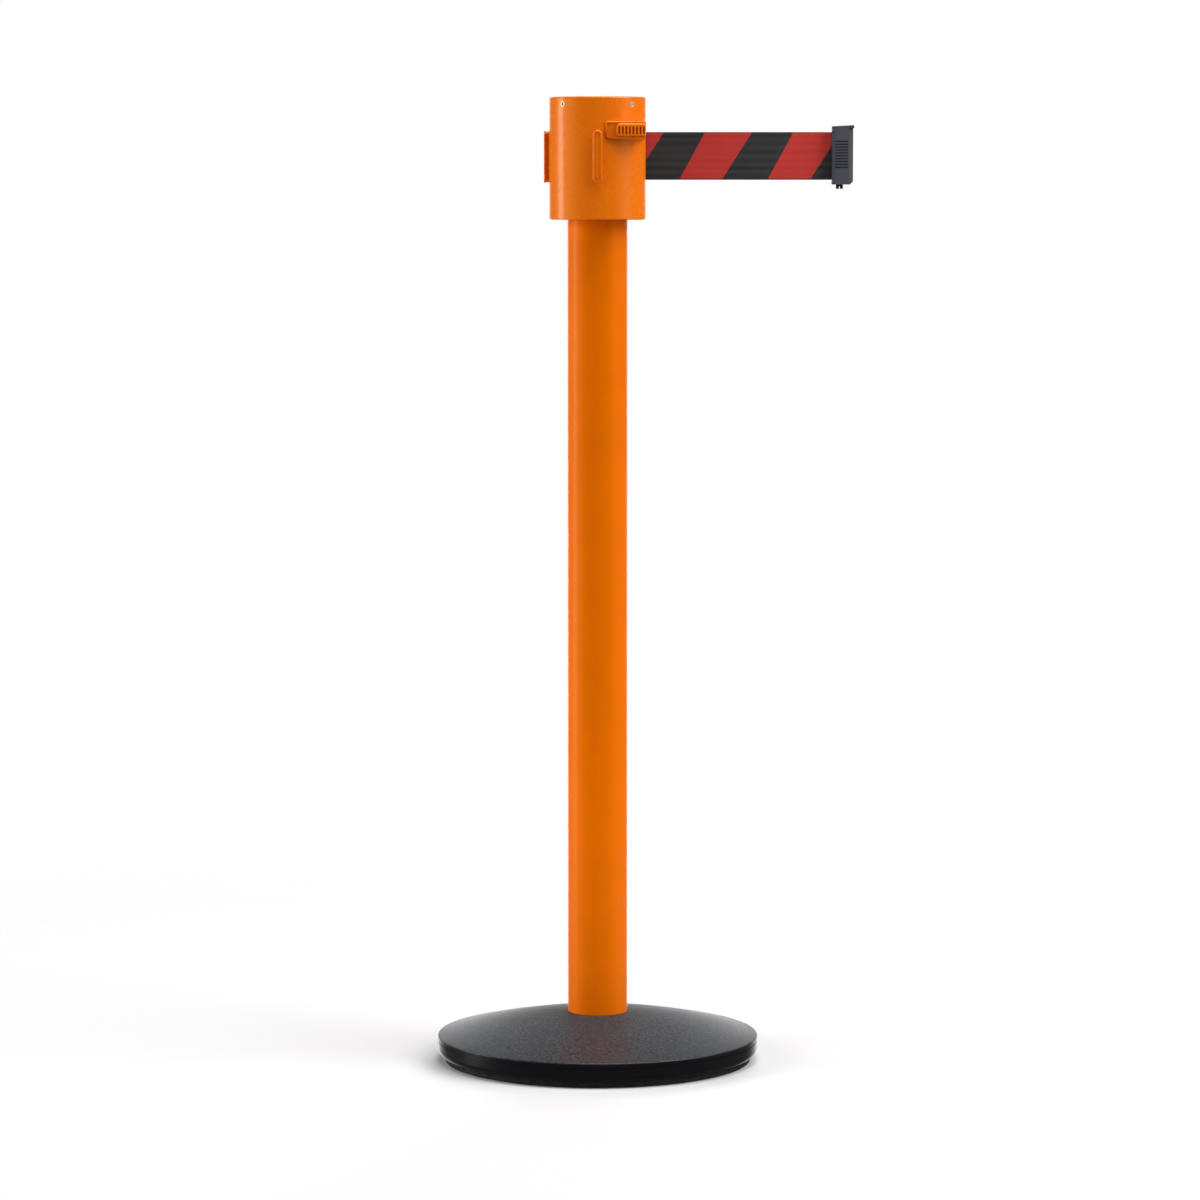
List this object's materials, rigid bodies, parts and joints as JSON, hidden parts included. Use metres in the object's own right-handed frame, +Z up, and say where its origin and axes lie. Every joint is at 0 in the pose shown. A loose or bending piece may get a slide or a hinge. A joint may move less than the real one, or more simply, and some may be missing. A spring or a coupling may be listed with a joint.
{
  "type": "retractable belt barrier post",
  "caption": "Free-standing barrier post: weighted round base, tube and belt cassette head with receiver rails, belt lock and a striped retractable belt ending in a clip.",
  "frame": {"origin": "on the floor, on the axis of the tube", "axes": "+Z up along the tube; +X the way the belt is pulled out; -Y the side with the belt-lock slider"},
  "size_m": [0.4406, 0.3418, 1.025],
  "materials": {
    "orange_paint": "satin",
    "orange_plastic": "satin",
    "base_plastic": "fine pebble grain",
    "black_plastic": "matte",
    "slate_plastic": "matte",
    "white_plastic": "smooth",
    "cast_iron": "as cast",
    "rubber": "matte",
    "zinc": "zinc plated",
    "zinc_sheet": "zinc plated sheet",
    "spring_steel": "blued",
    "die_cast": "die cast",
    "webbing": "woven, red and black diagonal stripes"
  },
  "bodies": {
    "post": {"base_cover": "base_plastic", "base_weight": "cast_iron", "floor_ring": "rubber", "base_washer": "zinc", "spring_washer": "zinc", "base_bolt": "zinc", "bottom_plug": "die_cast", "post_tube": "orange_paint", "head_adapter": "die_cast", "expander_cone": "die_cast", "expander_bolt": "zinc", "head_housing": "orange_plastic", "receiver_rail_front": "orange_plastic", "receiver_rail_left": "orange_plastic", "receiver_rail_back": "orange_plastic", "rail_screws": "zinc", "floor_screws": "zinc", "top_cap": "orange_plastic", "cap_screws": "zinc", "belt_outlet": "black_plastic", "guide_pins": "zinc", "cassette_base_plate": "zinc_sheet", "cassette_top_plate": "zinc_sheet", "cassette_pillars": "zinc", "cassette_screws": "zinc", "spindle": "zinc", "spindle_nut": "zinc", "retaining_clip": "spring_steel", "power_spring": "spring_steel", "belt_lead": "webbing", "brake_bracket": "zinc_sheet", "bracket_rivets": "zinc"},
    "spool": {"spool": "black_plastic", "barrel_lid": "black_plastic", "lower_bush": "white_plastic", "upper_bush": "white_plastic", "belt_roll": "webbing"},
    "front_roller": {"guide_roller_front": "white_plastic"},
    "rear_roller": {"guide_roller_rear": "white_plastic"},
    "belt_end": {"clip_front_shell": "slate_plastic", "clip_back_shell": "slate_plastic", "belt_pin": "zinc", "clip_screws": "zinc", "belt_strap": "webbing", "button_spring": "spring_steel"},
    "button": {"release_button": "black_plastic"},
    "latch": {"catch": "spring_steel"},
    "lock": {"lock_slider": "orange_plastic"},
    "brake": {"brake_shoe": "black_plastic", "brake_pad": "rubber"}
  },
  "joints": [
    {"name": "belt_pull", "type": "slide", "parent": "post", "child": "belt_end", "axis": [1, 0, 0], "range_m": [-0.195, 2.976], "deforming": ["belt_strap"]},
    {"name": "spool_spin", "type": "hinge", "parent": "post", "child": "spool", "pos_m": [0, 0, 0.962], "axis": [0, 0, 1], "continuous": true},
    {"name": "front_roller_spin", "type": "hinge", "parent": "post", "child": "front_roller", "pos_m": [0.045, -0.00355, 0.9624], "axis": [0, 0, 1], "continuous": true},
    {"name": "rear_roller_spin", "type": "hinge", "parent": "post", "child": "rear_roller", "pos_m": [0.045, 0.00355, 0.9624], "axis": [0, 0, 1], "continuous": true},
    {"name": "lock_slide", "type": "slide", "parent": "post", "child": "lock", "axis": [-1, 0, 0], "range_m": [0, 0.009]},
    {"name": "brake_slide", "type": "slide", "parent": "post", "child": "brake", "axis": [0, -1, 0], "range_m": [0, 0.003]},
    {"name": "release_press", "type": "slide", "parent": "belt_end", "child": "button", "axis": [0, 0, 1], "range_m": [0, 0.002], "stiffness_N_per_m": 500, "springref_m": -0.002, "deforming": ["button_spring"]},
    {"name": "catch_slide", "type": "slide", "parent": "belt_end", "child": "latch", "axis": [-1, 0, 0], "range_m": [0, 0.0018]}
  ],
  "couplings": [
    {"joint": "spool_spin", "follows": "belt_pull", "rad_per_m": -34},
    {"joint": "front_roller_spin", "follows": "belt_pull", "rad_per_m": -333.33},
    {"joint": "rear_roller_spin", "follows": "belt_pull", "rad_per_m": 333.33},
    {"joint": "brake_slide", "follows": "lock_slide", "ratio": 0.33333},
    {"joint": "catch_slide", "follows": "release_press", "ratio": 0.9}
  ]
}
